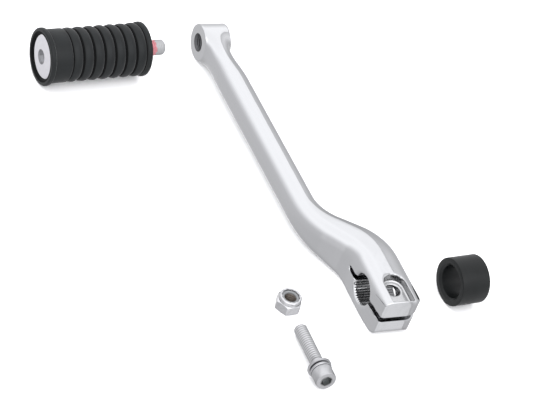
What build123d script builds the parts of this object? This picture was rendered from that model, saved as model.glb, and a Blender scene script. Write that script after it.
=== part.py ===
from build123d import *
import math
import os

# Heel and toe shift lever for a motorcycle, laid out as a kit on a flat bench.
# Origin: centre of the serrated clamp bore, halfway across the clamp.
# +X runs along the shift shaft, +Y from the clamp towards the peg boss, +Z up off the bench.

# Lever arm: one forging, polished and chromed
reach = 177.9
clamp_width = 21.8
clamp_height = 23.0
clamp_corner = 6.0
clamp_foot_corner = 1.2
clamp_nose = 19.8
clamp_back = 9.5
nose_taper = 1.4
taper_start = 5.0
taper_radius = 20.0
nose_inner_corner = 1.2
nose_outer_corner = 6.0
nose_foot_corner = 5.0
arm_offset = 22.45
arm_lean = 3.5
arm_width = 14.2
arm_height = 15.4
arm_corner = 6.4
bend_top = 45.2
bend_foot = 19.8
bend_top_radius = 38.0
bend_foot_radius = 24.0
bend_swell = 14.0
boss_radius = 9.7
boss_length = 14.6
thread_hole_chamfer = 1.2
boss_flare = 17.0
boss_neck_height = 18.0
straight_stations = 7
bend_stations = 14

# Clamp: saw cut, serrated bore, nut pocket and pinch screw hole
bore_radius = 7.2
bore_chamfer = 0.7
serrations = 36
serration_depth = 0.5
serration_width = 0.75
slot_gap = 2.6
slot_reach = 14.7
pinch_offset = 8.1
pinch_clearance = 0.25
pocket_depth = 4.4
pocket_clearance = 0.25
pocket_lip = 1.25

# Pinch screw: quarter inch socket head cap screw with a split washer and a flat washer
screw_radius = 3.175
screw_length = 28.6
screw_point = 0.8
screw_thread_depth = 0.475
head_radius = 4.85
head_height = 6.35
head_edge = 0.7
pinch_key = 4.76
pinch_key_depth = 3.2
split_radius = 5.1
split_thickness = 1.6
split_gap = 1.2
washer_radius = 5.6
washer_thickness = 1.25
washer_clearance = 0.2
washer_play = 0.3

# Locking nut with a nylon ring in its collar
nut_across = 11.1
nut_hex_height = 5.2
nut_height = 7.4
nut_collar_radius = 5.35
nut_collar_lip = 0.55
ring_radius = 4.2
ring_grip = 0.225
ring_height = 1.7
ring_sink = 0.3
nut_chamfer_angle = 30.0

# Peg: ribbed rubber on a steel sleeve that turns on a long screw
peg_length = 55.0
peg_lip_radius = 14.4
peg_end_radius = 13.8
peg_rib_radius = 13.5
peg_collar_radius = 13.4
peg_collar_length = 12.0
peg_lip_width = 2.6
peg_lip_round = 1.1
peg_ribs = 7
rib_round = 4.2
rib_depth = 1.2
sleeve_radius = 6.5
sleeve_fit = 0.1
peg_screw_radius = 3.97
peg_thread_depth = 0.35
peg_shoulder_radius = 4.7
peg_shoulder_proud = 0.3
peg_stud = 12.0
peg_stud_point = 1.4
dome_radius = 10.1
dome_height = 3.0
dome_rim = 1.0
dome_bulge = 0.75
dome_clearance = 0.5
dome_recess = 3.3
peg_key = 5.56
peg_key_depth = 2.6

# Spacer: plain moulded bush for the shift shaft
spacer_radius = 11.7
spacer_clearance = 0.25
spacer_length = 15.4
spacer_chamfer = 0.6

# Where the loose pieces lie on the bench, and how far each is turned from +X
peg_x = -92.85
peg_y = 166.5
peg_turn = 4.6
spacer_x = 44.45
spacer_y = 0.3
spacer_turn = 4.0
nut_x = -44.55
nut_y = 3.2
nut_turn = 32.0
screw_x = -46.45
screw_y = -38.1
screw_turn = -92.9

# The bench is where the clamp rests
bench = -clamp_height / 2
boss_centre = bench + boss_radius
thread_hole_radius = peg_screw_radius - peg_thread_depth
pinch_hole_radius = screw_radius + pinch_clearance
pocket_half = nut_across / 2 + pocket_clearance
pocket_front = pocket_lip - clamp_nose
nut_thread_radius = screw_radius - screw_thread_depth
ring_bore_radius = screw_radius - ring_grip
spacer_bore_radius = bore_radius + serration_depth + spacer_clearance
cut_margin = 1.0


def ease(share):
    """Smooth rise from 0 to 1 as share goes from 0 to 1."""
    held = min(max(share, 0.0), 1.0)
    return held * held * (3 - 2 * held)


def arm_section(width, height, upper, lower):
    """Rectangle with round corners, the two upper ones apart from the two lower ones."""
    Rectangle(width, height)
    fillet(vertices().group_by(Axis.Y)[-1], upper)
    fillet(vertices().group_by(Axis.Y)[0], lower)


def lying_plane(x, y, height, turn, tilt=0.0):
    """Upright plane through a lying piece: local X is its axis, local Y is up."""
    along = Vector(1, 0, 0).rotate(Axis.Y, -tilt).rotate(Axis.Z, turn)
    upward = Vector(0, 0, 1).rotate(Axis.Y, -tilt).rotate(Axis.Z, turn)
    return Plane(origin=(x, y, height), x_dir=along, z_dir=along.cross(upward))


def axis_of(plane):
    """The piece's own axis, from its lying plane."""
    return Axis(plane.origin, plane.x_dir)


def across(plane, distance):
    """Plane square to the piece's axis, at a distance along it."""
    return Plane(
        origin=plane.origin + plane.x_dir * distance, x_dir=plane.y_dir, z_dir=plane.x_dir
    )


def hole_profile(middle, length, radius, bevel):
    """Half section of a through hole along local X, chamfered at both mouths."""
    mouth = length / 2 + cut_margin
    flare = radius + bevel + cut_margin
    throat = length / 2 - bevel
    return [
        (middle - mouth, 0),
        (middle + mouth, 0),
        (middle + mouth, flare),
        (middle + throat, radius),
        (middle - throat, radius),
        (middle - mouth, flare),
    ]


def save(part, name):
    """Label one finished piece and write it."""
    part.label = name
    export_step(part, f"parts/{name}.step")


os.makedirs("parts", exist_ok=True)

# Centre line of the arm: straight from the boss, one swept S bend, then square into the clamp
with BuildLine(Plane.XY) as arm_line:
    FilletPolyline(
        (-arm_offset, reach),
        (-arm_offset + arm_lean, bend_top),
        (0, bend_foot),
        (0, clamp_back),
        radius=[bend_top_radius, bend_foot_radius],
    )
route = arm_line.wires()[0]
bend_start = reach - bend_top - bend_swell
swell_length = route.length - bend_start

# Clamp block, drawn in at the nose and rounded there at its upright corners and along its foot
with BuildPart() as clamp_block:
    with BuildSketch(Plane.XZ.offset(-clamp_back)):
        arm_section(clamp_width, clamp_height, clamp_corner, clamp_foot_corner)
    extrude(amount=clamp_back + clamp_nose)
    with BuildSketch(Plane.XY.offset(bench)):
        with BuildLine():
            FilletPolyline(
                (-clamp_width / 2, clamp_back),
                (-clamp_width / 2, -taper_start),
                (nose_taper - clamp_width / 2, -clamp_nose),
                (clamp_width / 2, -clamp_nose),
                (clamp_width / 2, clamp_back),
                radius=[taper_radius, nose_inner_corner, nose_outer_corner],
            )
            Line((clamp_width / 2, clamp_back), (-clamp_width / 2, clamp_back))
        make_face()
    extrude(amount=clamp_height, mode=Mode.INTERSECT)
    with BuildSketch(Plane.YZ.offset(-clamp_width / 2)):
        with BuildLine():
            FilletPolyline(
                (clamp_back, bench),
                (-clamp_nose, bench),
                (-clamp_nose, -bench),
                radius=nose_foot_corner,
            )
            Polyline((-clamp_nose, -bench), (clamp_back, -bench), (clamp_back, bench))
        make_face()
    extrude(amount=clamp_width, mode=Mode.INTERSECT)

# Lever arm: the section goes from a near round bar to the square clamp block
with BuildPart() as lever_arm:
    stations = [bend_start * step / straight_stations for step in range(straight_stations)]
    stations += [bend_start + swell_length * step / bend_stations for step in range(bend_stations + 1)]
    for travelled in stations:
        share = travelled / route.length
        swell = ease((travelled - bend_start) / swell_length)
        flare = 1 - ease(travelled / boss_flare)
        height = arm_height + (clamp_height - arm_height) * swell
        height += (boss_neck_height - arm_height) * flare
        width = arm_width + (clamp_width - arm_width) * swell
        upper = arm_corner + (clamp_corner - arm_corner) * max(swell, flare)
        lower = arm_corner + (clamp_foot_corner - arm_corner) * swell
        lift = boss_centre * (1 - swell)
        forward = route % share
        sideways = Vector(0, 0, 1).cross(forward)
        section_centre = route @ share + Vector(0, 0, lift)
        with BuildSketch(Plane(origin=section_centre, x_dir=sideways, z_dir=forward)):
            arm_section(width, height, upper, lower)
    loft()
    add(clamp_block.part)
    # Peg boss, round and flat faced
    with BuildSketch(Plane.YZ.offset(-arm_offset - boss_length / 2)):
        with Locations((reach, boss_centre)):
            Circle(boss_radius)
    extrude(amount=boss_length)
    boss_axis = Axis((0, reach, boss_centre), (1, 0, 0))
    with BuildSketch(Plane(origin=boss_axis.position, z_dir=(0, 0, 1))):
        Polygon(*hole_profile(-arm_offset, boss_length, thread_hole_radius, thread_hole_chamfer), align=None)
    revolve(axis=boss_axis, mode=Mode.SUBTRACT)
    # Plain bore, opened by a chamfer at both faces
    with BuildSketch(Plane.XY):
        Polygon(*hole_profile(0, clamp_width, bore_radius, bore_chamfer), align=None)
    revolve(axis=Axis.X, mode=Mode.SUBTRACT)
    # Serrations that grip the shaft
    with BuildSketch(Plane.YZ.offset(-clamp_width / 2)):
        with PolarLocations(bore_radius, serrations, start_angle=180 / serrations):
            Polygon(
                (-serration_depth, serration_width),
                (-serration_depth, -serration_width),
                (serration_depth, 0),
                align=None,
            )
        Circle(bore_radius - serration_depth, mode=Mode.SUBTRACT)
    extrude(amount=clamp_width, mode=Mode.SUBTRACT)
    # Saw cut through the nose and past the bore, round at its end, so that the jaws can close
    with BuildSketch(Plane.YZ.offset(-clamp_width / 2 - cut_margin)):
        with Locations(((slot_reach - slot_gap / 2 - clamp_nose - cut_margin) / 2, 0)):
            Rectangle(slot_reach - slot_gap / 2 + clamp_nose + cut_margin, slot_gap)
        with Locations((slot_reach - slot_gap / 2, 0)):
            Circle(slot_gap / 2)
    extrude(amount=clamp_width + 2 * cut_margin, mode=Mode.SUBTRACT)
    # Nut pocket: round at the back, straight sides that stop the nut from turning
    with BuildSketch(Plane.XY.offset(clamp_height / 2 - pocket_depth)):
        with Locations((0, -pinch_offset)):
            Circle(pocket_half)
        with Locations((0, (pocket_front - pinch_offset) / 2)):
            Rectangle(2 * pocket_half, -pinch_offset - pocket_front)
    extrude(amount=pocket_depth, mode=Mode.SUBTRACT)
    with BuildSketch(Plane.XY.offset(bench)):
        with Locations((0, -pinch_offset)):
            Circle(pinch_hole_radius)
    extrude(amount=clamp_height, mode=Mode.SUBTRACT)
save(lever_arm.part, "lever_arm")

# Peg, lying in line with its boss, screw thread towards the arm
peg_plane = lying_plane(peg_x, peg_y, bench + peg_lip_radius, peg_turn)
peg_left = -peg_length / 2
peg_right = peg_length / 2
rib_start = peg_left + peg_collar_length
rib_pitch = (peg_right - peg_lip_width - rib_start) / peg_ribs
rib_floor = peg_rib_radius - rib_depth
sleeve_left = peg_left + dome_recess

with BuildPart() as peg_rubber:
    with BuildSketch(peg_plane):
        with Locations((0, (rib_floor + sleeve_radius) / 2)):
            Rectangle(peg_length, rib_floor - sleeve_radius)
        with Locations((peg_left + peg_collar_length / 2, peg_collar_radius / 2)):
            Rectangle(peg_collar_length, peg_collar_radius)
        with Locations((peg_left + peg_lip_width / 2, peg_lip_radius / 2)):
            RectangleRounded(peg_lip_width, peg_lip_radius, peg_lip_round)
        with Locations((peg_right - peg_lip_width / 2, peg_end_radius / 2)):
            RectangleRounded(peg_lip_width, peg_end_radius, peg_lip_round)
        for rib in range(peg_ribs):
            with Locations((rib_start + rib_pitch * (rib + 0.5), peg_rib_radius - rib_round)):
                Circle(rib_round)
        with Locations((0, sleeve_radius / 2)):
            Rectangle(peg_length, sleeve_radius, mode=Mode.SUBTRACT)
        recess_radius = dome_radius + dome_clearance
        with Locations((peg_left + dome_recess / 2, recess_radius / 2)):
            Rectangle(dome_recess, recess_radius, mode=Mode.SUBTRACT)
    revolve(axis=axis_of(peg_plane))
save(peg_rubber.part, "peg_rubber")

sleeve_bore = peg_shoulder_radius + sleeve_fit
with BuildPart() as peg_sleeve:
    with BuildSketch(peg_plane):
        with Locations(((sleeve_left + peg_right) / 2, (sleeve_radius + sleeve_bore) / 2)):
            Rectangle(peg_right - sleeve_left, sleeve_radius - sleeve_bore)
    revolve(axis=axis_of(peg_plane))
save(peg_sleeve.part, "peg_sleeve")

# Peg screw: wide domed head with a key socket, plain shank, threaded end
head_seat = sleeve_left - sleeve_fit
shoulder_end = peg_right + peg_shoulder_proud
stud_end = shoulder_end + peg_stud
with BuildPart() as peg_screw:
    with BuildSketch(peg_plane):
        with BuildLine():
            Polyline(
                (head_seat - dome_height, 0),
                (stud_end, 0),
                (stud_end, peg_screw_radius - peg_stud_point),
                (stud_end - peg_stud_point, peg_screw_radius),
                (shoulder_end, peg_screw_radius),
                (shoulder_end, peg_shoulder_radius),
                (head_seat, peg_shoulder_radius),
                (head_seat, dome_radius),
                (head_seat - dome_rim, dome_radius),
            )
            ThreePointArc(
                (head_seat - dome_rim, dome_radius),
                (head_seat - dome_rim - (dome_height - dome_rim) * dome_bulge, dome_radius / 2),
                (head_seat - dome_height, 0),
            )
        make_face()
    revolve(axis=axis_of(peg_plane))
    with BuildSketch(across(peg_plane, head_seat - dome_height)):
        RegularPolygon(peg_key / 2, 6, major_radius=False)
    extrude(amount=peg_key_depth, mode=Mode.SUBTRACT)
save(peg_screw.part, "peg_screw")

# Spacer for the shift shaft
spacer_plane = lying_plane(spacer_x, spacer_y, bench + spacer_radius, spacer_turn)
with BuildPart() as shaft_spacer:
    with BuildSketch(across(spacer_plane, -spacer_length / 2)):
        Circle(spacer_radius)
        Circle(spacer_bore_radius, mode=Mode.SUBTRACT)
    extrude(amount=spacer_length)
    chamfer(shaft_spacer.edges().filter_by(GeomType.CIRCLE), spacer_chamfer)
save(shaft_spacer.part, "shaft_spacer")

# Pinch screw, resting on its flat washer and the tip of its thread
head_base = washer_thickness + washer_play + split_thickness
tip_reach = screw_length - head_base
screw_tilt = math.degrees(math.atan((washer_radius - screw_radius) / tip_reach))
screw_height = bench + washer_radius * math.cos(math.radians(screw_tilt))
screw_plane = lying_plane(screw_x, screw_y, screw_height, screw_turn, screw_tilt)
with BuildPart() as pinch_screw:
    with BuildSketch(across(screw_plane, head_base - screw_length)):
        Circle(screw_radius)
    extrude(amount=screw_length)
    chamfer(pinch_screw.faces().sort_by(axis_of(screw_plane))[0].edges(), screw_point)
    with BuildSketch(across(screw_plane, head_base)):
        Circle(head_radius)
    extrude(amount=head_height)
    chamfer(pinch_screw.faces().sort_by(axis_of(screw_plane))[-1].edges(), head_edge)
    with BuildSketch(across(screw_plane, head_base + head_height - pinch_key_depth)):
        RegularPolygon(pinch_key / 2, 6, major_radius=False)
    extrude(amount=pinch_key_depth, mode=Mode.SUBTRACT)
save(pinch_screw.part, "pinch_screw")

with BuildPart() as flat_washer:
    with BuildSketch(screw_plane):
        inner = screw_radius + washer_clearance
        with Locations((washer_thickness / 2, (washer_radius + inner) / 2)):
            Rectangle(washer_thickness, washer_radius - inner)
    revolve(axis=axis_of(screw_plane))
save(flat_washer.part, "flat_washer")

with BuildPart() as split_washer:
    split_base = washer_thickness + washer_play
    with BuildSketch(across(screw_plane, split_base)):
        Circle(split_radius)
        Circle(screw_radius + washer_clearance, mode=Mode.SUBTRACT)
        with Locations((split_radius, 0)):
            Rectangle(split_radius, split_gap, mode=Mode.SUBTRACT)
    extrude(amount=split_thickness)
save(split_washer.part, "split_washer")

# Locking nut, standing on its base
nut_flat = Vector(1, 0, 0).rotate(Axis.Z, nut_turn)
nut_plane = Plane(origin=(nut_x, nut_y, bench), x_dir=nut_flat, z_dir=(0, 0, 1))
nut_corner_radius = nut_across / math.sqrt(3)
nut_slope = (nut_corner_radius - nut_across / 2) * math.tan(math.radians(nut_chamfer_angle))
with BuildPart() as lock_nut:
    with BuildSketch(nut_plane):
        RegularPolygon(nut_across / 2, 6, major_radius=False)
    extrude(amount=nut_hex_height)
    nut_side = Plane(origin=nut_plane.origin, x_dir=nut_plane.x_dir, z_dir=-nut_plane.y_dir)
    with BuildSketch(nut_side):
        with BuildLine():
            Polyline(
                (0, 0),
                (nut_across / 2, 0),
                (nut_corner_radius, nut_slope),
                (nut_corner_radius, nut_hex_height - nut_slope),
                (nut_across / 2, nut_hex_height),
                (0, nut_hex_height),
                (0, 0),
            )
        make_face()
    revolve(axis=Axis(nut_plane.origin, (0, 0, 1)), mode=Mode.INTERSECT)
    with BuildSketch(nut_plane.offset(nut_hex_height)):
        Circle(nut_collar_radius)
    extrude(amount=nut_height - nut_hex_height)
    fillet(lock_nut.faces().sort_by(Axis.Z)[-1].edges(), nut_collar_lip)
    with BuildSketch(nut_plane.offset(nut_height - ring_height)):
        Circle(ring_radius)
    extrude(amount=ring_height, mode=Mode.SUBTRACT)
    with BuildSketch(nut_plane):
        Circle(nut_thread_radius)
    extrude(amount=nut_height, mode=Mode.SUBTRACT)
save(lock_nut.part, "lock_nut")

with BuildPart() as nylon_ring:
    with BuildSketch(nut_plane.offset(nut_height - ring_height)):
        Circle(ring_radius)
        Circle(ring_bore_radius, mode=Mode.SUBTRACT)
    extrude(amount=ring_height - ring_sink)
save(nylon_ring.part, "nylon_ring")
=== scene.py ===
import math

import bmesh
import bpy
from mathutils import Euler, Matrix, Vector


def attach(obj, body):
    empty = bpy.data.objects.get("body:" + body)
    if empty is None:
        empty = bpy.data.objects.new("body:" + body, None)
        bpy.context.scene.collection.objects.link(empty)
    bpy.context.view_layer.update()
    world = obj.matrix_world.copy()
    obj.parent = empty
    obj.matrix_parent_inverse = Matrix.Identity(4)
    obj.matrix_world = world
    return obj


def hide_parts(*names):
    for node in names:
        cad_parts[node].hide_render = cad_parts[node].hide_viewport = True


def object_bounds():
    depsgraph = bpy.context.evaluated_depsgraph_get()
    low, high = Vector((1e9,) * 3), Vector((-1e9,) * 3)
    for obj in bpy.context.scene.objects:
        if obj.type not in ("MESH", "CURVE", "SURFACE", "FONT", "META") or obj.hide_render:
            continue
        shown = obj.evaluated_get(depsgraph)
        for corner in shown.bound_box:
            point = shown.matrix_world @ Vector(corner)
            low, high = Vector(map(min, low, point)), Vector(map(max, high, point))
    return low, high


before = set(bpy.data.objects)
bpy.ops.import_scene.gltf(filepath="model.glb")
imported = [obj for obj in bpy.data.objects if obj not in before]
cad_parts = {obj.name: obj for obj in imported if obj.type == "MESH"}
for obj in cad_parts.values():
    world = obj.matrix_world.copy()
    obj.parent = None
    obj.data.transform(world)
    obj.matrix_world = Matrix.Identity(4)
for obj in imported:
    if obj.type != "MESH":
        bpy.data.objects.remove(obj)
cad_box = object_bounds()

# It leans to one side, so that the arm runs steeply down the picture.
mm = 0.001
picture_width = 533
sensor_width = 36.0
focal_pixels = 2015.0
look_at = Vector((-11.4, 69.69, -10.5)) * mm
camera_distance = 983 * mm
camera_turn = math.radians(36.23)
camera_height = math.radians(40.04)
camera_roll = math.radians(21.77)
camera_pan = math.radians(0.95)

facing = Euler((math.pi / 2 - camera_height, 0, -camera_turn)).to_matrix()
facing = facing @ Matrix.Rotation(camera_roll, 3, "Z")
towards_camera = facing @ Vector((0, 0, 1))
facing = facing @ Matrix.Rotation(camera_pan, 3, "Y")
camera = bpy.data.objects.new("camera", bpy.data.cameras.new("camera"))
camera.data.sensor_width = sensor_width
camera.data.lens = focal_pixels * sensor_width / picture_width
camera_place = Matrix.Translation(look_at + towards_camera * camera_distance)
camera.matrix_world = camera_place @ facing.to_4x4()
bpy.context.collection.objects.link(camera)
bpy.context.scene.camera = camera

# Bench: a wide pale sheet of satin paper under the whole kit.
bench_size = 2.5
bench_height = cad_box[0][2]
bench_white = (0.93, 0.93, 0.93, 1)


def new_material(name, **values):
    """A material whose shader sockets hold the given values."""
    material = bpy.data.materials.new(name)
    material.use_nodes = True
    shader = material.node_tree.nodes["Principled BSDF"]
    for socket, value in values.items():
        shader.inputs[socket.replace("_", " ")].default_value = value
    return material


bench_mesh = bpy.data.meshes.new("bench")
bm = bmesh.new()
bmesh.ops.create_grid(bm, x_segments=1, y_segments=1, size=bench_size)
bmesh.ops.translate(bm, verts=bm.verts[:], vec=(0, 0, bench_height))
bm.to_mesh(bench_mesh)
bm.free()
bench = bpy.data.objects.new("bench", bench_mesh)
bpy.context.collection.objects.link(bench)
paper = new_material("bench_paper", Base_Color=bench_white, Roughness=0.9)
bench_mesh.materials.append(paper)
bench.visible_glossy = False

# Studio: a white tent, brightest overhead and greyer low down, with a darker wall on its right.
# Polished faces mirror the tent and not the bench, and one wide lamp gives the soft shadows.
tent_heights = [
    (0.00, 0.80),
    (0.20, 1.06),
    (0.50, 1.16),
    (0.60, 1.34),
    (0.70, 1.66),
    (0.78, 2.04),
    (0.84, 2.18),
    (1.00, 2.05),
]
tent_walls = [
    (0.00, 0.98),
    (0.11, 1.00),
    (0.750, 1.00),
    (0.760, 0.42),
    (0.772, 0.62),
    (0.85, 0.74),
    (1.00, 0.85),
]
tent_ends = [
    (0.00, 1.30),
    (0.25, 1.50),
    (0.45, 1.00),
    (1.00, 1.00),
]
tent_blue = 1.02
tent = bpy.data.worlds.new("tent")
tent.use_nodes = True
bpy.context.scene.world = tent
nodes, links = tent.node_tree.nodes, tent.node_tree.links
direction = nodes.new("ShaderNodeTexCoord")
halved = nodes.new("ShaderNodeMapping")
halved.inputs["Location"].default_value = (0.5, 0.5, 0.5)
halved.inputs["Scale"].default_value = (0.5, 0.5, 0.5)
parts = nodes.new("ShaderNodeSeparateXYZ")
links.new(direction.outputs["Generated"], halved.inputs["Vector"])
links.new(halved.outputs["Vector"], parts.inputs[0])
tent_light = None
for axis, stops in (("Z", tent_heights), ("X", tent_walls), ("Y", tent_ends)):
    ramp = nodes.new("ShaderNodeValToRGB")
    for _ in stops[2:]:
        ramp.color_ramp.elements.new(0.5)
    for stop, (place, level) in zip(ramp.color_ramp.elements, stops):
        stop.position = place
        stop.color = (level, level, level * tent_blue if axis == "Z" else level, 1)
    links.new(parts.outputs[axis], ramp.inputs[0])
    if tent_light:
        layer = nodes.new("ShaderNodeVectorMath")
        layer.operation = "MULTIPLY"
        links.new(tent_light, layer.inputs[0])
        links.new(ramp.outputs[0], layer.inputs[1])
        tent_light = layer.outputs[0]
    else:
        tent_light = ramp.outputs[0]
links.new(tent_light, nodes["Background"].inputs["Color"])

lamp_place = Vector((-0.55, 0.55, 1.10))
lamp = bpy.data.objects.new("lamp", bpy.data.lights.new("lamp", "AREA"))
lamp.data.size = 0.8
lamp.data.energy = 1.6
lamp.location = lamp_place
lamp.rotation_euler = (look_at - lamp_place).to_track_quat("-Z", "Y").to_euler()
lamp.visible_glossy = False
bpy.context.collection.objects.link(lamp)
bpy.context.scene.view_settings.view_transform = "Standard"

# Lever arm: one steel forging, ground smooth, polished and chromed all over.
# It runs from a round peg boss down a straight bar, round one swept S bend, into a square clamp.
# The saw cut lets the clamp's jaws close on the splined shaft when the pinch screw is tightened.
reach = 177.9
arm_offset = 22.45
arm_lean = 3.5
arm_width, arm_height = 14.2, 15.4
arm_corner = 6.4
bend_top = 45.2
bend_foot = 19.8
bend_radii = (38.0, 24.0)
bend_swell = 14.0
clamp_width, clamp_height = 21.8, 23.0
clamp_corner = 6.0
clamp_foot_corner = 1.2
clamp_shoulder = (9.5, 4.8)
clamp_nose = 19.8
clamp_back = 9.5
nose_taper = 1.4
taper_start = 5.0
nose_inner_corner = 1.2
nose_outer_corner = 6.0
nose_foot_corner = 5.0
corner_segments = 8
boss_neck_height = 19.2
boss_neck_waist = 1.7
neck_narrowest = 8.0
neck_return = 28.0
boss_neck_corner = 2.6
boss_flare = 17.0
boss_radius = 9.7
boss_length = 14.6
peg_hole_radius = 3.62
peg_hole_chamfer = 1.2
peg_thread_pitch = 1.058
peg_thread_depth = 0.4
bore_radius = 7.2
bore_chamfer = 1.1
serrations = 36
serration_depth = 0.5
serration_root = 0.295
slot_gap = 2.6
slot_reach = 14.7
pinch_offset = 8.1
pinch_hole_radius = 3.425
pocket_half = 5.8
pocket_depth = 4.4
pocket_lip = 1.25
arm_step = 0.8
section_sides = 72
boss_sides = 128
hole_sides = 96
slot_sides = 32
forging_grain = 0.45
polish_passes = 8
neck_zone = (146.0, 160.0, 169.0, 178.0)
neck_rim = 2.5
neck_passes = 300
nose_zone = (-18.3, 4.0)
nose_passes = 24
beyond = 2.0
sharp_crease = math.radians(35)
bench_line = -clamp_height / 2
boss_centre = Vector((-arm_offset, reach, bench_line + boss_radius))


def ease(share):
    """Smooth rise from 0 to 1 as share goes from 0 to 1."""
    held = min(max(share, 0.0), 1.0)
    return held * held * (3 - 2 * held)


def turned(points, steps, closed=False):
    """A closed shape turned round the X axis from (distance, radius) points."""
    bm = bmesh.new()
    verts = [bm.verts.new((distance, 0, radius)) for distance, radius in points]
    edges = [bm.edges.new(pair) for pair in zip(verts, verts[1:])]
    if closed:
        edges.append(bm.edges.new((verts[-1], verts[0])))
    bmesh.ops.spin(
        bm, geom=verts + edges, axis=(1, 0, 0), angle=2 * math.pi, steps=steps, use_merge=True
    )
    bmesh.ops.remove_doubles(bm, verts=bm.verts[:], dist=1e-4)
    bmesh.ops.recalc_face_normals(bm, faces=bm.faces[:])
    return bm


def round_bar(length, radius, sides):
    """A plain cylinder along X about the origin."""
    half = length / 2
    return turned([(-half, 0), (-half, radius), (half, radius), (half, 0)], sides)


def through_hole(length, radius, chamfer):
    """The tool that drills a hole along X and chamfers both its mouths."""
    mouth = length / 2 + beyond
    throat = length / 2 - chamfer
    flare = radius + chamfer + beyond
    profile = [(-mouth, 0), (-mouth, flare), (-throat, radius)]
    profile += [(-distance, away) for distance, away in reversed(profile)]
    return turned(profile, hole_sides)


def thread_tool(start, turns, pitch, radius, depth):
    """The tool that cuts a thread: a V on a helix about X, as deep as given.

    A positive depth cuts into a shaft of that radius, and a negative one into a hole's wall.
    """
    sides = 32
    half_mouth = 0.48 * pitch
    overhang = math.copysign(0.06 * pitch, depth)
    bm = bmesh.new()
    verts = [bm.verts.new((start + shift, 0, radius + height))
             for shift, height in ((-half_mouth, overhang), (half_mouth, overhang), (0, -depth))]
    edges = [bm.edges.new(pair) for pair in zip(verts, verts[1:] + verts[:1])]
    bmesh.ops.spin(
        bm, geom=verts + edges, axis=(1, 0, 0), dvec=(pitch / sides, 0, 0),
        angle=2 * math.pi * turns, steps=sides * turns,
    )
    bmesh.ops.holes_fill(bm, edges=bm.edges[:])
    bmesh.ops.recalc_face_normals(bm, faces=bm.faces[:])
    return bm


def as_object(name, bm):
    """A scene object in millimetres from a bmesh."""
    mesh = bpy.data.meshes.new(name)
    bm.to_mesh(mesh)
    bm.free()
    made = bpy.data.objects.new(name, mesh)
    bpy.context.collection.objects.link(made)
    return made


def settle(piece):
    """Turn the piece's modifiers into its mesh."""
    bpy.context.view_layer.update()
    seen = piece.evaluated_get(bpy.context.evaluated_depsgraph_get())
    mesh = bpy.data.meshes.new_from_object(seen)
    piece.modifiers.clear()
    piece.data = mesh


def machine(piece, tool, operation="DIFFERENCE"):
    """Cut the tool's shape out of the piece, or join or keep what they share."""
    cutter = as_object("tool", tool)
    step = piece.modifiers.new("machine", "BOOLEAN")
    step.object = cutter
    step.operation = operation
    step.solver = "EXACT"
    settle(piece)
    bpy.data.objects.remove(cutter)


def block(size, centre):
    """A plain box of the given sizes about a centre."""
    bm = bmesh.new()
    bmesh.ops.create_cube(bm, size=1)
    bmesh.ops.scale(bm, vec=size, verts=bm.verts[:])
    bmesh.ops.translate(bm, vec=centre, verts=bm.verts[:])
    return bm


def post(radius, height, centre):
    """An upright cylinder about a centre."""
    bm = bmesh.new()
    bmesh.ops.create_cone(
        bm, cap_ends=True, segments=hole_sides, radius1=radius, radius2=radius, depth=height,
        matrix=Matrix.Translation(centre),
    )
    return bm


def hand_over(piece, body, nodes):
    """Bring a finished piece to metres, shade it, and give it to its body in its nodes' place."""
    piece.data.transform(Matrix.Scale(mm, 4))
    piece.data.shade_smooth()
    piece.data.set_sharp_from_angle(angle=sharp_crease)
    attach(piece, body)
    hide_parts(*nodes)


# The bar's path: a straight run from the boss, the two turns of the S bend, and the clamp.
corners = [
    Vector((-arm_offset, reach)),
    Vector((arm_lean - arm_offset, bend_top)),
    Vector((0, bend_foot)),
    Vector((0, clamp_back)),
]
runs = [after - before for before, after in zip(corners, corners[1:])]
turns = [-before.angle_signed(after) for before, after in zip(runs, runs[1:])]
set_backs = [radius * math.tan(abs(turn) / 2) for radius, turn in zip(bend_radii, turns)]
set_backs = [0] + set_backs + [0]
stretches = []
for place, run in enumerate(runs):
    stretches.append((run.length - set_backs[place] - set_backs[place + 1], 0))
    if place < len(turns):
        stretches.append((bend_radii[place] * abs(turns[place]), turns[place]))
arm_length = sum(length for length, turn in stretches)
bend_start = reach - bend_top - bend_swell

point = corners[0]
heading = math.atan2(runs[0].y, runs[0].x)
stations = [(point, heading, 0.0)]
for length, turn in stretches:
    count = math.ceil(length / arm_step)
    for _ in range(count):
        middle = heading + turn / count / 2
        point = point + Vector((math.cos(middle), math.sin(middle))) * length / count
        heading += turn / count
        stations.append((point, heading, stations[-1][2] + length / count))


def between(first, last, share):
    """The value a share of the way from the first to the last."""
    return first + (last - first) * share


def lay_ring(verts, centre, heading, width, height, upper, lower, shoulder):
    """Move a ring of vertices onto a section square to the heading.

    Its corners are round, and the upper one on the right has its own width and depth.
    """
    side = Vector((math.sin(heading), -math.cos(heading), 0))
    for place, vert in enumerate(verts):
        angle = 2 * math.pi * (place + 0.5) / len(verts)
        across, up = math.cos(angle), math.sin(angle)
        wide, deep = (upper, upper) if up > 0 else (lower, lower)
        if up > 0 and across < 0:
            wide, deep = shoulder
        across = math.copysign(width / 2 - wide, across) + wide * across
        up = math.copysign(height / 2 - deep, up) + deep * up
        vert.co = centre + side * across + Vector((0, 0, up))


def pull_ring(bm, ring):
    """Pull a new band of faces out of a ring of vertices, and give back its far ring."""
    edges = [bm.edges.get((a, b)) for a, b in zip(ring, ring[1:] + ring[:1])]
    pulled = bmesh.ops.extrude_edge_only(bm, edges=edges)["geom"]
    fresh = {vert for vert in pulled if isinstance(vert, bmesh.types.BMVert)}
    return [next(e.other_vert(v) for e in v.link_edges if e.other_vert(v) in fresh) for v in ring]


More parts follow.
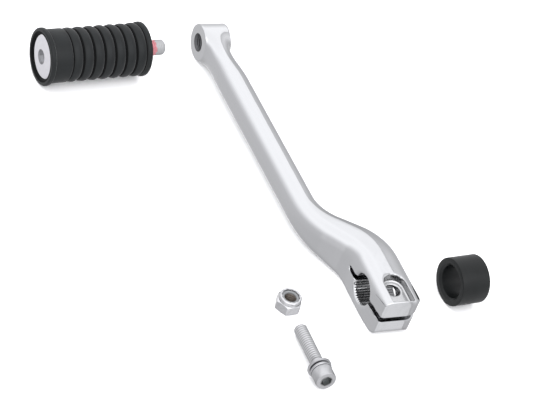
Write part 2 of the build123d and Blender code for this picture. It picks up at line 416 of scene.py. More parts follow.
def section_bar(places):
    """A bar drawn through one rounded section after another, closed at both ends."""
    bm = bmesh.new()
    ring = bmesh.ops.create_circle(bm, segments=section_sides, radius=1)["verts"]
    first = ring
    for count, place in enumerate(places):
        if count:
            ring = pull_ring(bm, ring)
        lay_ring(ring, *place)
    for end in (first, ring):
        bmesh.ops.contextual_create(bm, geom=end)
    bmesh.ops.recalc_face_normals(bm, faces=bm.faces[:])
    return bm


def rounded_prism(outline, radii, lift):
    """An outline drawn out along a direction, with each of its corners rounded."""
    bm = bmesh.new()
    verts = [bm.verts.new(place) for place in outline]
    base = bm.faces.new(verts)
    drawn = bmesh.ops.extrude_face_region(bm, geom=[base], use_keep_orig=True)["geom"]
    far_end = [item for item in drawn if isinstance(item, bmesh.types.BMVert)]
    bmesh.ops.translate(bm, vec=lift, verts=far_end)
    bmesh.ops.recalc_face_normals(bm, faces=bm.faces[:])
    for place, radius in zip(outline, radii):
        if radius:
            middle = Vector(place) + Vector(lift) / 2
            centres = {e: (e.verts[0].co + e.verts[1].co) / 2 for e in bm.edges}
            edge = min(bm.edges, key=lambda e: (centres[e] - middle).length)
            bmesh.ops.bevel(
                bm, geom=[edge], offset=radius, segments=corner_segments, profile=0.5,
                affect="EDGES", material=-1,
            )
    return bm


# Its sections along that path, from the flat neck at the boss to the clamp's square one.
places = []
for point, heading, travelled in stations:
    swell = ease((travelled - bend_start) / (arm_length - bend_start))
    flare = 1 - ease(travelled / boss_flare)
    regained = ease((travelled - neck_narrowest) / neck_return)
    waist = boss_neck_waist * ease(travelled / neck_narrowest) * (1 - regained)
    width = between(arm_width, clamp_width, swell) - waist
    height = between(between(arm_height, clamp_height, swell), boss_neck_height, flare)
    upper = between(between(arm_corner, clamp_corner, swell), boss_neck_corner, flare)
    lower = between(between(arm_corner, clamp_foot_corner, swell), boss_neck_corner, flare)
    shoulder = [between(upper, corner, swell) for corner in clamp_shoulder]
    centre = Vector((point.x - waist / 2, point.y, between(boss_centre.z, 0, swell)))
    places.append((centre, heading, width, height, upper, lower, shoulder))
arm = as_object("lever_arm_chromed", section_bar(places))

# The clamp's block, its nose tapered on one side and rounded at its outer and lower corners.
clamp_section = (clamp_width, clamp_height, clamp_corner, clamp_foot_corner, clamp_shoulder)
clamp_ends = [
    (Vector((0, y, 0)), -math.pi / 2, *clamp_section) for y in (clamp_back, -clamp_nose)
]
clamp = as_object("clamp", section_bar(clamp_ends))
half = clamp_width / 2
back = clamp_back + beyond
outline = [
    (-half, back),
    (-half, -taper_start),
    (nose_taper - half, -clamp_nose),
    (half, -clamp_nose),
    (half, back),
]
top_view = rounded_prism(
    [(x, y, bench_line - beyond) for x, y in outline],
    [0, 0, nose_inner_corner, nose_outer_corner, 0], (0, 0, clamp_height + 2 * beyond),
)
machine(clamp, top_view, "INTERSECT")
side_view = rounded_prism(
    [(-half - beyond, back, bench_line), (-half - beyond, -clamp_nose, bench_line),
     (-half - beyond, -clamp_nose, -bench_line), (-half - beyond, back, -bench_line)],
    [0, nose_foot_corner, 0, 0], (clamp_width + 2 * beyond, 0, 0),
)
machine(clamp, side_view, "INTERSECT")
clamp_shape = bmesh.new()
clamp_shape.from_mesh(clamp.data)
bpy.data.objects.remove(clamp)
machine(arm, clamp_shape, "UNION")

# The boss, and what is bored, sawn and milled into the clamp.
boss = round_bar(boss_length, boss_radius, boss_sides)
boss.transform(Matrix.Translation(boss_centre))
machine(arm, boss, "UNION")
machine(arm, through_hole(clamp_width, bore_radius, bore_chamfer))
slot_start = -clamp_nose - beyond
slot_end = slot_reach - slot_gap / 2
slot_wide = clamp_width + beyond
slot_middle = (0, (slot_end + slot_start) / 2, 0)
machine(arm, block((slot_wide, slot_end - slot_start, slot_gap), slot_middle))
slot_round = round_bar(slot_wide, slot_gap / 2, slot_sides)
bmesh.ops.translate(slot_round, vec=(0, slot_end, 0), verts=slot_round.verts[:])
machine(arm, slot_round)
pocket_top = clamp_height / 2
pocket_tall = 2 * pocket_depth
machine(arm, post(pocket_half, pocket_tall, Vector((0, -pinch_offset, pocket_top))))
pocket_front = pocket_lip - clamp_nose
pocket_run = -pinch_offset - pocket_front
pocket_middle = (0, pocket_front + pocket_run / 2, pocket_top)
machine(arm, block((2 * pocket_half, pocket_run, pocket_tall), pocket_middle))
machine(arm, post(pinch_hole_radius, 2 * clamp_height, Vector((0, -pinch_offset, 0))))

# The polish rounds every edge, and most of all those of the boss's neck and the clamp's nose.
remesh = arm.modifiers.new("forge", "REMESH")
remesh.mode = "VOXEL"
remesh.voxel_size = forging_grain
polish = arm.modifiers.new("polish", "SMOOTH")
polish.iterations = polish_passes
settle(arm)
neck = arm.vertex_groups.new(name="neck")
nose = arm.vertex_groups.new(name="nose")
rise_from, rise_to, fall_from, fall_to = neck_zone
for vert in arm.data.vertices:
    y = vert.co.y
    weight = ease((y - rise_from) / (rise_to - rise_from))
    if y > fall_from:
        from_rim = boss_length / 2 - abs(vert.co.x - boss_centre.x)
        weight *= (1 - ease((y - fall_from) / (fall_to - fall_from))) * ease(from_rim / neck_rim)
    if weight > 0:
        neck.add([vert.index], weight, "REPLACE")
    if y < nose_zone[0] and vert.co.z > nose_zone[1]:
        nose.add([vert.index], 1.0, "REPLACE")
soften = arm.modifiers.new("soften", "SMOOTH")
soften.iterations = neck_passes
soften.vertex_group = "neck"
ease_edge = arm.modifiers.new("ease_edge", "SMOOTH")
ease_edge.iterations = nose_passes
ease_edge.vertex_group = "nose"
settle(arm)
arm.vertex_groups.clear()

# The bore is serrated and the peg's hole drilled and tapped last, so that their edges stay sharp.
splines = bmesh.new()
star = bmesh.ops.create_circle(splines, segments=2 * serrations, radius=1, cap_ends=True)["verts"]
for place, vert in enumerate(star):
    angle = math.pi * (place + 1) / serrations
    radius = bore_radius + (serration_depth if place % 2 else -serration_root)
    vert.co = (-clamp_width / 2 - beyond, radius * math.cos(angle), radius * math.sin(angle))
face = bmesh.ops.extrude_face_region(splines, geom=splines.faces[:])["geom"]
pulled = [item for item in face if isinstance(item, bmesh.types.BMVert)]
bmesh.ops.translate(splines, vec=(clamp_width + 2 * beyond, 0, 0), verts=pulled)
bmesh.ops.recalc_face_normals(splines, faces=splines.faces[:])
machine(arm, splines)
peg_hole = through_hole(boss_length, peg_hole_radius, peg_hole_chamfer)
peg_hole.transform(Matrix.Translation(boss_centre))
machine(arm, peg_hole)
thread_turns = math.ceil(boss_length / peg_thread_pitch) + 1
tapping = thread_tool(-boss_length / 2 - peg_thread_pitch, thread_turns, peg_thread_pitch,
                      peg_hole_radius, -peg_thread_depth)
tapping.transform(Matrix.Translation(boss_centre))
machine(arm, tapping)

# The finishes: chrome all over, duller metal in the bore and the nut pocket, and painted shade, a
# dark steel colour, on the bore's wall low on the right and in both holes.
chrome_colour = (0.42, 0.424, 0.432, 1)


def join(material, source, target):
    """Link one node's output to another's input."""
    material.node_tree.links.new(source, target)


def feed(material, socket, source):
    """Link a node's output to one of the shader's own sockets."""
    join(material, source, material.node_tree.nodes["Principled BSDF"].inputs[socket])


def figure(material, operation, first, second):
    """A Math node that works on a node's output and a number, or on two outputs."""
    node = material.node_tree.nodes.new("ShaderNodeMath")
    node.operation = operation
    join(material, first, node.inputs[0])
    if isinstance(second, (int, float)):
        node.inputs[1].default_value = second
    else:
        join(material, second, node.inputs[1])
    return node.outputs[0]


def blended(material, share, low, high):
    """A colour that goes from one to the other with a node's output."""
    ramp = material.node_tree.nodes.new("ShaderNodeValToRGB")
    ramp.color_ramp.elements[0].color = low
    ramp.color_ramp.elements[1].color = high
    join(material, share, ramp.inputs["Fac"])
    return ramp.outputs["Color"]


def ranged(material, share, low, high):
    """A number that goes from one to the other with a node's output."""
    node = material.node_tree.nodes.new("ShaderNodeMapRange")
    node.inputs["To Min"].default_value = low
    node.inputs["To Max"].default_value = high
    join(material, share, node.inputs["Value"])
    return node.outputs["Result"]


def unevenness(material, size):
    """Fine noise fixed to the piece, its grains of a size in millimetres."""
    nodes = material.node_tree.nodes
    place = nodes.new("ShaderNodeTexCoord")
    noise = nodes.new("ShaderNodeTexNoise")
    noise.inputs["Scale"].default_value = 1 / (size * mm)
    noise.inputs["Detail"].default_value = 3
    join(material, place.outputs["Object"], noise.inputs["Vector"])
    return noise.outputs["Fac"]


def relief(material, height, depth, strength=1.0):
    """Give the surface a relief of a depth in millimetres."""
    bump = material.node_tree.nodes.new("ShaderNodeBump")
    bump.inputs["Distance"].default_value = depth * mm
    bump.inputs["Strength"].default_value = strength
    join(material, height, bump.inputs["Height"])
    feed(material, "Normal", bump.outputs["Normal"])


def line_with(piece, material, inside):
    """Give the faces whose centre passes a test a finish of their own."""
    piece.data.materials.append(material)
    for face in piece.data.polygons:
        if inside(face.center):
            face.material_index = len(piece.data.materials) - 1


def metal(name, colours, roughness, mottle, grain, depth):
    """Bare or plated metal, its colour mottled and its gloss and surface a little uneven.

    The colours and the roughness each run from one value to another, and the sizes of the
    mottle and the grain and the depth of the relief are in millimetres.
    """
    material = new_material(name, Metallic=1.0)
    feed(material, "Base Color", blended(material, unevenness(material, mottle), *colours))
    feed(material, "Roughness", ranged(material, unevenness(material, grain), *roughness))
    relief(material, unevenness(material, grain), depth)
    return material


def in_bore(place):
    """Whether a point of the arm is on the serrated bore's wall, inside its chamfers."""
    return place.yz.length < serration_tip and abs(place.x) < clamp_width / 2 - bore_chamfer


def in_bore_foot(place):
    """Whether a point of the arm is on the bore's wall low on the right, which is painted darker as
    painted shade.
    """
    return in_bore(place) and place.x > 0 and place.z < -1


def in_pocket(place):
    """Whether a point of the arm is on the nut pocket's walls or floor."""
    return (place.yz.length > serration_tip and abs(place.x) < pocket_half + wall_margin
            and pocket_front - wall_margin < place.y < 0 and 0 < place.z < pocket_top - pocket_rim)


def in_pinch_hole(place):
    """Whether a point of the arm is on the pinch hole's wall, below the pocket's floor."""
    return (math.hypot(place.x, place.y + pinch_offset) < pinch_hole_radius + hole_margin
            and abs(place.z) < pocket_top - pocket_depth + edge_margin)


def in_peg_hole(place):
    """Whether a point of the arm is on the peg hole's thread or chamfers."""
    across = place - boss_centre
    return (across.yz.length < peg_hole_radius + peg_hole_chamfer + hole_margin
            and abs(across.x) < boss_length / 2 - boss_rim)


edge_margin = 0.1
hole_margin = 0.2
wall_margin = 0.15
boss_rim = 0.12
pocket_rim = 0.6
serration_tip = bore_radius + serration_depth + edge_margin
chrome = metal("polished_chrome", (chrome_colour, chrome_colour), (0.08, 0.13),
               mottle=9.0, grain=9.0, depth=0.07)
broached = metal("broached_steel", ((0.42, 0.422, 0.426, 1), (0.55, 0.552, 0.556, 1)), (0.22, 0.34),
                 mottle=1.5, grain=0.8, depth=0.01)
milled = metal("milled_pocket", ((0.34, 0.342, 0.346, 1), (0.44, 0.442, 0.446, 1)), (0.16, 0.28),
               mottle=3.0, grain=1.6, depth=0.02)
# Painted shade: a dark steel colour on the bore's wall low on the right and in the pinch hole.
painted_hole_shade = metal("painted_hole_shade_steel", ((0.10, 0.102, 0.106, 1), (0.20, 0.202, 0.206, 1)), (0.20, 0.34),
                mottle=2.0, grain=1.0, depth=0.01)
# Painted shade: the peg hole's thread and chamfers in a near black steel colour.
peg_hole_painted_shade = metal("peg_hole_painted_shade_steel", ((0.05, 0.051, 0.054, 1), (0.10, 0.101, 0.104, 1)), (0.24, 0.38),
               mottle=1.0, grain=0.8, depth=0.01)
arm.data.materials.clear()
arm.data.materials.append(chrome)
line_with(arm, broached, in_bore)
line_with(arm, painted_hole_shade, in_bore_foot)
line_with(arm, milled, in_pocket)
line_with(arm, painted_hole_shade, in_pinch_hole)
line_with(arm, peg_hole_painted_shade, in_peg_hole)
hand_over(arm, "kit", ["lever_arm"])

# Peg rubber: one black rubber moulding, ribbed along its barrel so that a boot holds it.
# A thick lip stands round its open end, and it is pressed over the steel sleeve.
# Neither it nor what it holds is mirrored in the bar, which reflects the tent there.
peg_turn = math.radians(4.6)
peg_place = (-92.85, 166.5, bench_line + 14.4)
peg_length = 55.0
lip_radius = 14.4
lip_width = 2.6
lip_round = 0.9
collar_radius = 13.4
collar_length = 12.0
collar_round = 0.9
collar_start = 0.8
collar_foot = 0.3
collar_foot_depth = 0.25
collar_fall = 1.0
end_radius = 13.8
rib_radius = 13.5
rib_round = 3.3
rib_count = 7
groove_half = 0.7
groove_floor = 11.0
recess_radius = 11.3
recess_depth = 3.3
recess_edge = 0.5
sleeve_radius = 6.5
rubber_sides = 128
rubber_dark = (0.004, 0.0048, 0.0052, 1)
rubber_light = (0.010, 0.0118, 0.0125, 1)
groove_painted_shade = (0.0015, 0.0018, 0.002, 1)
groove_mouth = 12.6


def lying(x, y, height, turn, tilt=0.0):
    """Where a loose piece lies: its own X axis turned on the bench and tilted up."""
    return (Matrix.Translation((x, y, height)) @ Matrix.Rotation(turn, 4, "Z")
            @ Matrix.Rotation(-tilt, 4, "Y"))


def arc(distance, radius, bend, start, end, count):
    """Points of a section along an arc about a centre, angles in degrees from straight out."""
    angles = [math.radians(start + (end - start) * step / count) for step in range(count + 1)]
    return [(distance + bend * math.sin(turn), radius + bend * math.cos(turn)) for turn in angles]


def along_axis(material, lies):
    """Node outputs for the distance along a lying piece's own axis, and away from it."""
    nodes = material.node_tree.nodes
    place = nodes.new("ShaderNodeTexCoord")
    square = nodes.new("ShaderNodeMapping")
    square.vector_type = "TEXTURE"
    square.inputs["Location"].default_value = lies.translation * mm
    square.inputs["Rotation"].default_value = lies.to_euler()
    parts = nodes.new("ShaderNodeSeparateXYZ")
    join(material, place.outputs["Object"], square.inputs["Vector"])
    join(material, square.outputs["Vector"], parts.inputs[0])
    offsets = (parts.outputs["Y"], parts.outputs["Z"])
    squares = [figure(material, "MULTIPLY", offset, offset) for offset in offsets]
    return parts.outputs["X"], figure(material, "POWER", figure(material, "ADD", *squares), 0.5)


def either(material, share, first, second):
    """The first colour where a node's output is 0, and the second where it is 1."""
    mix = material.node_tree.nodes.new("ShaderNodeMix")
    mix.data_type = "RGBA"
    join(material, share, mix.inputs["Factor"])
    for socket, colour in (("A", first), ("B", second)):
        if isinstance(colour, tuple):
            mix.inputs[socket].default_value = colour
        else:
            join(material, colour, mix.inputs[socket])
    return mix.outputs["Result"]


peg_left, peg_right = -peg_length / 2, peg_length / 2
peg_lies = lying(*peg_place, peg_turn)
collar_left = peg_left + lip_width
end_left = peg_right - lip_width
rib_start = peg_left + collar_length
rib_pitch = (end_left - rib_start) / rib_count
rib_reach = math.degrees(math.asin((rib_pitch / 2 - groove_half) / rib_round))
section = [
    (peg_left + recess_depth, sleeve_radius),
    (peg_left + recess_depth, recess_radius),
    (peg_left + recess_edge, recess_radius),
    (peg_left, recess_radius + recess_edge),
]
section += arc(peg_left + lip_round, lip_radius - lip_round, lip_round, -90, 0, 5)
section += arc(collar_left - lip_round, lip_radius - lip_round, lip_round, 0, 70, 4)
section += [
    (collar_left + collar_foot, collar_radius - collar_foot_depth),
    (collar_left + collar_start, collar_radius),
]
section += arc(rib_start - collar_fall, collar_radius - collar_round, collar_round, 0, 60, 3)
for rib in range(rib_count):
    section.append((rib_start + rib_pitch * rib, groove_floor))
    middle = rib_start + rib_pitch * (rib + 0.5)
    section += arc(middle, rib_radius - rib_round, rib_round, -rib_reach, rib_reach, 8)
section.append((end_left, groove_floor))
section += arc(end_left + collar_round, end_radius - collar_round, collar_round, -70, 0, 4)
section += arc(peg_right - lip_round, end_radius - lip_round, lip_round, 0, 90, 5)
section.append((peg_right, sleeve_radius))
rubber_shape = turned(section, rubber_sides, closed=True)
rubber_shape.transform(peg_lies)
rubber = as_object("peg_rubber_ribbed", rubber_shape)
black_rubber = new_material("black_rubber", IOR=1.3, Specular_IOR_Level=0.42)
bloom = unevenness(black_rubber, 7.0)
from_axis = along_axis(black_rubber, peg_lies)[1]
# Painted shade: near black on all that lies nearer the axis than the groove mouth, the grooves, the
# recess and the end faces, which are also made fully rough.
in_groove = figure(black_rubber, "LESS_THAN", from_axis, groove_mouth * mm)
bloomed = blended(black_rubber, bloom, rubber_dark, rubber_light)
feed(black_rubber, "Base Color", either(black_rubber, in_groove, bloomed, groove_painted_shade))
rough = ranged(black_rubber, unevenness(black_rubber, 1.2), 0.34, 0.50)
feed(black_rubber, "Roughness", figure(black_rubber, "MAXIMUM", rough, in_groove))
relief(black_rubber, unevenness(black_rubber, 0.35), 0.03, 0.6)
rubber.data.materials.append(black_rubber)
rubber.visible_glossy = False
hand_over(rubber, "kit", ["peg_rubber"])

# Peg sleeve: a plain steel tube inside the rubber, which turns on the screw's shank.
# Only its right end shows, as a thin ring round the stud.
zinc_light = (0.38, 0.382, 0.392, 1)
zinc_dark = (0.26, 0.263, 0.272, 1)
plated = metal("zinc_plated_steel", (zinc_dark, zinc_light), (0.24, 0.38),
               mottle=1.6, grain=0.8, depth=0.012)
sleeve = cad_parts["peg_sleeve"]
sleeve.visible_glossy = False
for place in sleeve.material_slots:
    place.material = plated

# Peg screw: a long machined screw with a wide domed head, plated, that holds the peg on the lever.
# A band of red locking compound is baked onto the first half of its thread.
head_seat = peg_left + recess_depth - 0.1
dome_radius = 10.9
dome_height = 3.0
dome_rim = 1.9
dome_edge = 0.35
dome_steps = 12
screw_sides = 96
countersink_sides = 64
shoulder_radius = 4.7
shoulder_end = peg_right + 0.3
stud_radius = 3.97
stud_end = shoulder_end + 12.0
stud_point = 1.4
stud_nose = ((0.5, 0.45), (0.15, 1.1), (0, 1.7))
stud_groove = 0.5
stud_thread_start = shoulder_end + 0.9
stud_turns = 12
key_radius = 5.56 / math.sqrt(3)
key_depth = 2.6
key_mouth = 3.95
compound_start = shoulder_end - 0.01
compound_end = shoulder_end + 6.6
compound_ragged = 0.8
head_dark = (0.60, 0.595, 0.62, 1)
head_light = (0.72, 0.715, 0.74, 1)
stud_grey = (0.36, 0.363, 0.37, 1)
compound_red = (0.42, 0.13, 0.155, 1)
compound_pale = (0.56, 0.23, 0.255, 1)


def key_socket(mouth, depth, radius):
    """The tool that broaches a hexagon key socket along X."""
    bm = bmesh.new()
    bmesh.ops.create_cone(
        bm, cap_ends=True, segments=6, radius1=radius, radius2=radius, depth=2 * depth,
        matrix=Matrix.Translation((mouth, 0, 0)) @ Matrix.Rotation(math.radians(30), 4, "X")
        @ Matrix.Rotation(math.pi / 2, 4, "Y"),
    )
    return bm


def in_dome_key(place):
    """Whether a point of the peg screw is in its key socket or on the socket's countersink."""
    return (head_seat - 0.97 * dome_height < place.x < head_seat
            and place.yz.length < key_mouth - edge_margin)


section = []
for step in range(dome_steps):
    share = step / dome_steps
    crown = (dome_height - dome_rim) * (1 - share ** 2)
    section.append((head_seat - dome_rim - crown, dome_radius * step / dome_steps))
section += arc(head_seat - dome_rim + dome_edge, dome_radius - dome_edge, dome_edge, -75, 0, 3)
section += [
    (head_seat, dome_radius),
    (head_seat, shoulder_radius),
    (shoulder_end, shoulder_radius),
    (shoulder_end, stud_radius),
    (stud_end - stud_point, stud_radius),
]
section += [(stud_end - stud_point * share, stud_radius - fall) for share, fall in stud_nose]
section.append((stud_end, 0))
screw = as_object("peg_screw_threaded", turned(section, screw_sides))
mouth = head_seat - dome_height
machine(screw, key_socket(mouth, key_depth, key_radius))
countersink = [
    (mouth - beyond, 0),
    (mouth - beyond, key_mouth + beyond),
    (mouth + key_mouth - key_radius, key_radius),
    (mouth + key_mouth - key_radius, 0),
]
machine(screw, turned(countersink, countersink_sides))
stud_die = thread_tool(
    stud_thread_start, stud_turns, peg_thread_pitch, stud_radius, stud_groove
)
machine(screw, stud_die)
machined = new_material("plated_screw_with_compound")
along = along_axis(machined, peg_lies)[0]
ragged = ranged(machined, unevenness(machined, 2.0), -compound_ragged * mm, compound_ragged * mm)
reached = figure(machined, "ADD", along, ragged)
painted = figure(
    machined, "MULTIPLY",
    figure(machined, "GREATER_THAN", along, compound_start * mm),
    figure(machined, "LESS_THAN", reached, compound_end * mm),
)
steel = blended(machined, unevenness(machined, 1.6), head_dark, head_light)
red = blended(machined, unevenness(machined, 0.7), compound_red, compound_pale)
steel = either(machined, figure(machined, "GREATER_THAN", along, 0), steel, stud_grey)
feed(machined, "Base Color", either(machined, painted, steel, red))
feed(machined, "Metallic", ranged(machined, painted, 1.0, 0.0))
feed(machined, "Roughness", ranged(machined, unevenness(machined, 0.8), 0.36, 0.50))
relief(machined, unevenness(machined, 0.3), 0.012)
screw.data.materials.append(machined)
# Painted shade: the key socket and its countersink in a dark steel colour.
dome_key_painted_shade = metal("dome_key_painted_shade", ((0.14, 0.142, 0.15, 1), (0.20, 0.202, 0.21, 1)), (0.35, 0.5),
                     mottle=1.0, grain=0.6, depth=0.012)
line_with(screw, dome_key_painted_shade, in_dome_key)
screw.data.transform(peg_lies)
screw.visible_glossy = False
hand_over(screw, "peg_pin", ["peg_screw"])

# Spacer: a plain bush moulded in black plastic, which keeps the lever clear of the engine's case.
# Its ends are flat, and the mouth of its bore is broadly chamfered.
spacer_lies = lying(44.45, 0.3, bench_line + 11.7, math.radians(4.0))
spacer_radius = 11.7
spacer_bore = 7.95
spacer_half = 7.7
spacer_edge = 0.5
spacer_mouth = 1.1
spacer_sides = 128
plastic_dark = (0.004, 0.0046, 0.0048, 1)
plastic_light = (0.009, 0.0102, 0.0104, 1)
section = [(-spacer_half + spacer_mouth, spacer_bore), (-spacer_half, spacer_bore + spacer_mouth)]
section += arc(-spacer_half + spacer_edge, spacer_radius - spacer_edge, spacer_edge, -90, 0, 4)
section += arc(spacer_half - spacer_edge, spacer_radius - spacer_edge, spacer_edge, 0, 90, 4)
section += [(spacer_half, spacer_bore + spacer_mouth), (spacer_half - spacer_mouth, spacer_bore)]
spacer_shape = turned(section, spacer_sides, closed=True)
spacer_shape.transform(spacer_lies)
spacer = as_object("shaft_spacer_moulded", spacer_shape)
plastic = new_material("black_moulded_plastic", Specular_IOR_Level=0.17)
feed(plastic, "Base Color", blended(plastic, unevenness(plastic, 5.0), plastic_dark, plastic_light))
feed(plastic, "Roughness", ranged(plastic, unevenness(plastic, 1.5), 0.26, 0.40))
relief(plastic, unevenness(plastic, 0.6), 0.012)
spacer.data.materials.append(plastic)
hand_over(spacer, "kit", ["shaft_spacer"])

# Pinch screw: a quarter inch socket head cap screw that draws the clamp's jaws together.
# Its thread is rolled to the head, and the head's side has a fine straight knurl.
# It lies on its point and on the rim of the flat washer, which sets its tilt.
pinch_radius = 3.175
pinch_length = 28.6
pinch_point = 0.8
pinch_pitch = 1.27
pinch_turns = 19
pinch_groove = 0.62
pinch_root = 0.22
thread_root_painted_shade = (0.235, 0.235, 0.238, 1)
cap_radius = 4.85
cap_height = 6.35
cap_foot = 0.25
cap_edge = 0.7
cap_key_radius = 4.76 / math.sqrt(3)
cap_key_depth = 3.2
knurl_count = 48
knurl_depth = 0.14
washer_radius = 5.6
washer_thickness = 1.25
washer_hole = 3.375
split_base = 1.75
split_thickness = 1.4
cap_base = split_base + split_thickness
cap_top = cap_base + cap_height
tip = cap_base - pinch_length
pinch_tilt = math.atan((washer_radius - pinch_radius) / (pinch_length - cap_base))
pinch_height = bench_line + washer_radius * math.cos(pinch_tilt)
pinch_lies = lying(-46.45, -38.1, pinch_height, math.radians(-92.9), pinch_tilt)


def in_cap_key(place):
    """Whether a point of the pinch screw is in its key socket."""
    return (cap_top - 1.1 * cap_key_depth < place.x < cap_top - edge_margin
            and place.yz.length < cap_key_radius - hole_margin)


section = [
    (tip, 0),
    (tip, pinch_radius - pinch_point),
    (tip + pinch_point, pinch_radius),
    (cap_base, pinch_radius),
    (cap_base, cap_radius - cap_foot),
    (cap_base + cap_foot, cap_radius),
    (cap_top - cap_edge, cap_radius),
]
section += arc(cap_top - cap_edge, cap_radius - cap_edge, cap_edge, 50, 90, 2)
section.append((cap_top, 0))
cap_screw_shape = turned(section, 2 * knurl_count)
for vert in cap_screw_shape.verts:
    turn = math.atan2(vert.co.z, vert.co.y) / math.pi * knurl_count
    along_side = cap_base < vert.co.x < cap_top - cap_edge / 2
    if along_side and vert.co.yz.length > cap_radius - 0.01 and round(turn) % 2:
        vert.co.yz = vert.co.yz * (1 - knurl_depth / cap_radius)
cap_screw = as_object("pinch_screw_threaded", cap_screw_shape)
machine(cap_screw, key_socket(cap_top, cap_key_depth, cap_key_radius))
pinch_die = thread_tool(
    tip - 0.5 * pinch_pitch, pinch_turns, pinch_pitch, pinch_radius, pinch_groove
)
machine(cap_screw, pinch_die)
satin = metal("satin_zinc_screw", ((0.30, 0.302, 0.31, 1), (0.40, 0.402, 0.41, 1)), (0.26, 0.40),
              mottle=1.6, grain=0.6, depth=0.015)
plate = satin.node_tree.nodes["Principled BSDF"].inputs["Base Color"].links[0].from_socket
# Painted shade: the thread's roots, below the root depth, in a darker grey than the plating.
from_axis = along_axis(satin, pinch_lies)[1]
in_root = figure(satin, "LESS_THAN", from_axis, (pinch_radius - pinch_root) * mm)
feed(satin, "Base Color", either(satin, in_root, plate, thread_root_painted_shade))
cap_screw.data.materials.append(satin)
# Painted shade: the cap's key socket a little darker than the screw's plating.
cap_key_painted_shade = metal("cap_key_painted_shade", ((0.25, 0.26, 0.262, 1), (0.36, 0.37, 0.372, 1)), (0.35, 0.5),
                    mottle=1.0, grain=0.6, depth=0.012)
line_with(cap_screw, cap_key_painted_shade, in_cap_key)
cap_screw.data.transform(pinch_lies)
hand_over(cap_screw, "kit", ["pinch_screw"])

# Flat washer: a plain washer stamped from sheet steel and zinc plated, loose on the pinch screw.
# The stamping rounds its outer edges, and its hole's edges are barely broken.
washer_edge = 0.15
washer_round_in = 0.3
washer_round_down = 0.2
washer_sides = 96
section = [
    (washer_edge, washer_hole),
    (0, washer_hole + washer_edge),
    (0, washer_radius - washer_round_in),
    (washer_round_down, washer_radius),
    (washer_thickness - washer_round_down, washer_radius),
    (washer_thickness, washer_radius - washer_round_in),
    (washer_thickness, washer_hole + washer_edge),
    (washer_thickness - washer_edge, washer_hole),
]
washer_shape = turned(section, washer_sides, closed=True)
washer_shape.transform(pinch_lies)
washer = as_object("flat_washer_plated", washer_shape)
washer.data.materials.append(plated)
hand_over(washer, "kit", ["flat_washer"])

# Split washer: a square spring wire coiled once round the pinch screw, under its head.
# Its two ends stay a little apart along the screw, with the gap turned towards the bench.
split_radius = 5.1
split_gap = math.radians(13.5)
split_steps = 72
split_offset = 0.2
split_turn = math.radians(150)
wire = split_thickness - split_offset
wire_edge = 0.2
split_shape = bmesh.new()
points = [
    (split_base, washer_hole),
    (split_base, split_radius - wire_edge),
    (split_base + wire_edge, split_radius),
    (split_base + wire - wire_edge, split_radius),
    (split_base + wire, split_radius - wire_edge),
    (split_base + wire, washer_hole),
]
verts = [split_shape.verts.new((distance, 0, radius)) for distance, radius in points]
edges = [split_shape.edges.new(pair) for pair in zip(verts, verts[1:] + verts[:1])]
first_end = Matrix.Rotation(split_turn + split_gap / 2, 3, "X")
bmesh.ops.rotate(split_shape, verts=verts, matrix=first_end)
bmesh.ops.spin(
    split_shape, geom=verts + edges, axis=(1, 0, 0), dvec=(split_offset / split_steps, 0, 0),
    angle=2 * math.pi - split_gap, steps=split_steps,
)
bmesh.ops.holes_fill(split_shape, edges=split_shape.edges[:])
bmesh.ops.recalc_face_normals(split_shape, faces=split_shape.faces[:])
split_shape.transform(pinch_lies)
split_washer = as_object("split_washer_sprung", split_shape)
split_washer.data.materials.append(plated)
hand_over(split_washer, "kit", ["split_washer"])

# Locking nut: plated steel, its hexagon chamfered and its collar rolled inwards over a nylon ring.
# The rolled lip keeps the marks of the tool, twelve around.
nut_turn = math.radians(32.0)
nut_lies = (Matrix.Translation((-44.55, 3.2, bench_line)) @ Matrix.Rotation(nut_turn, 4, "Z")
            @ Matrix.Rotation(-math.pi / 2, 4, "Y"))
nut_across = 11.1
nut_flat = nut_across / 2
nut_corner = nut_across / math.sqrt(3)
nut_slope = (nut_corner - nut_flat) * math.tan(math.radians(30))
nut_foot_inset = 0.2
nut_top_inset = 0.25
nut_top_slope = 1.3 * nut_slope
hexagon_height = 5.2
nut_height = 7.4
nut_collar = 5.35
collar_sunk = 0.6
collar_straight = 1.0
collar_roll = 0.75
ring_seat = nut_height - 1.7
ring_radius = 4.2
rolled_lip = ((0, 0.25), (0.12, -0.15), (0.4, -0.2), (0.5, 0))
lip_marks = 12
lip_mark_depth = 0.3
lip_mark_height = 0.45
lip_mark_reach = 0.3
nut_thread = 2.7
nut_thread_depth = 0.45
nut_thread_turns = 6
nut_mouth = 0.5
nut_sides = 128
nut_drill_sides = 64


def in_nut_bore(place):
    """Whether a point of the nut is in its threaded hole, below the ring's seat."""
    return 0.05 < place.x < ring_seat + 0.02 and place.yz.length < nut_thread + nut_mouth


section = [
    (0, 0),
    (0, nut_flat - nut_foot_inset),
    (nut_slope, nut_corner),
    (hexagon_height - nut_top_slope, nut_corner),
    (hexagon_height, nut_flat - nut_top_inset),
    (hexagon_height, 0),
]
nut = as_object("lock_nut_plated", turned(section, nut_sides))
hexagon = bmesh.new()
bmesh.ops.create_cone(
    hexagon, cap_ends=True, segments=6, radius1=nut_corner, radius2=nut_corner,
    depth=4 * nut_height, matrix=Matrix.Rotation(math.pi / 2, 4, "Y"),
)
machine(nut, hexagon, "INTERSECT")
section = [
    (hexagon_height - collar_sunk, 0),
    (hexagon_height - collar_sunk, nut_collar),
    (nut_height - collar_straight, nut_collar),
]
section += arc(nut_height - collar_roll, nut_collar - collar_roll, collar_roll, 10, 70, 5)
section += [(nut_height - down, ring_radius + out) for down, out in rolled_lip]
section += [(ring_seat, ring_radius), (ring_seat, 0)]
collar_shape = turned(section, 8 * lip_marks)
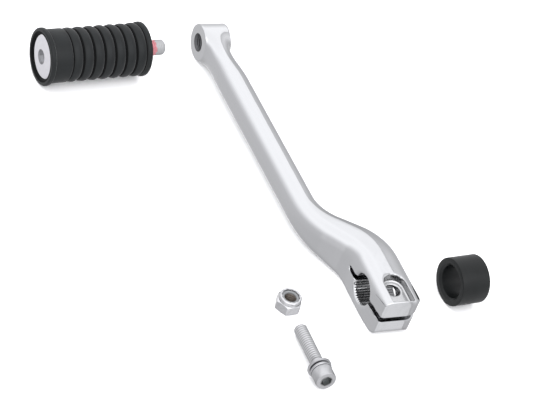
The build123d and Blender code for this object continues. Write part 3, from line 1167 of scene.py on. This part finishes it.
for vert in collar_shape.verts:
    out = vert.co.yz.length
    if vert.co.x > nut_height - lip_mark_height and out < ring_radius + lip_mark_reach:
        mark = 0.5 + 0.5 * math.cos(lip_marks * math.atan2(vert.co.z, vert.co.y))
        vert.co.yz = vert.co.yz * (1 + lip_mark_depth * mark / out)
machine(nut, collar_shape, "UNION")
drill = [
    (-beyond, 0),
    (-beyond, nut_thread + beyond + nut_mouth),
    (nut_mouth, nut_thread),
    (nut_height + beyond, nut_thread),
    (nut_height + beyond, 0),
]
machine(nut, turned(drill, nut_drill_sides))
nut_tap = thread_tool(
    -pinch_pitch, nut_thread_turns, pinch_pitch, nut_thread, -nut_thread_depth
)
machine(nut, nut_tap)
nut_steel = metal("zinc_plated_nut", (zinc_light, (0.46, 0.46, 0.47, 1)), (0.14, 0.24),
                  mottle=1.6, grain=1.0, depth=0.012)
# Painted shade: the threaded hole below the ring's seat in a dark brownish steel colour.
nut_bore_painted_shade = metal("nut_bore_painted_shade", ((0.075, 0.064, 0.056, 1), (0.13, 0.112, 0.098, 1)), (0.4, 0.55),
                 mottle=1.0, grain=0.6, depth=0.012)
nut.data.materials.append(nut_steel)
line_with(nut, nut_bore_painted_shade, in_nut_bore)
nut.data.transform(nut_lies)
hand_over(nut, "kit", ["lock_nut"])

# Nylon ring: a pale grey insert held under the nut's rolled lip.
# Its bore is a shade smaller than the screw's thread, so that it grips the screw.
ring_bore = 2.95
ring_height = 1.05
ring_bevel = 0.35
ring_bore_edge = 0.75
ring_outer_edge = 0.8
ring_fit = 0.02
ring_sides = 72
nylon_dark = (0.14, 0.145, 0.15, 1)
nylon_light = (0.20, 0.205, 0.21, 1)
section = [
    (ring_seat, ring_bore),
    (ring_seat + ring_bore_edge, ring_bore),
    (ring_seat + ring_height, ring_bore + ring_bevel),
    (ring_seat + ring_height, ring_radius - ring_bevel),
    (ring_seat + ring_outer_edge, ring_radius - ring_fit),
    (ring_seat, ring_radius - ring_fit),
]
ring_shape = turned(section, ring_sides, closed=True)
ring_shape.transform(nut_lies)
ring = as_object("nylon_ring_moulded", ring_shape)
nylon = new_material("grey_nylon", Subsurface_Weight=0.1, Subsurface_Radius=(mm, mm, mm))
feed(nylon, "Base Color", blended(nylon, unevenness(nylon, 1.0), nylon_dark, nylon_light))
feed(nylon, "Roughness", ranged(nylon, unevenness(nylon, 0.5), 0.38, 0.52))
ring.data.materials.append(nylon)
hand_over(ring, "kit", ["nylon_ring"])
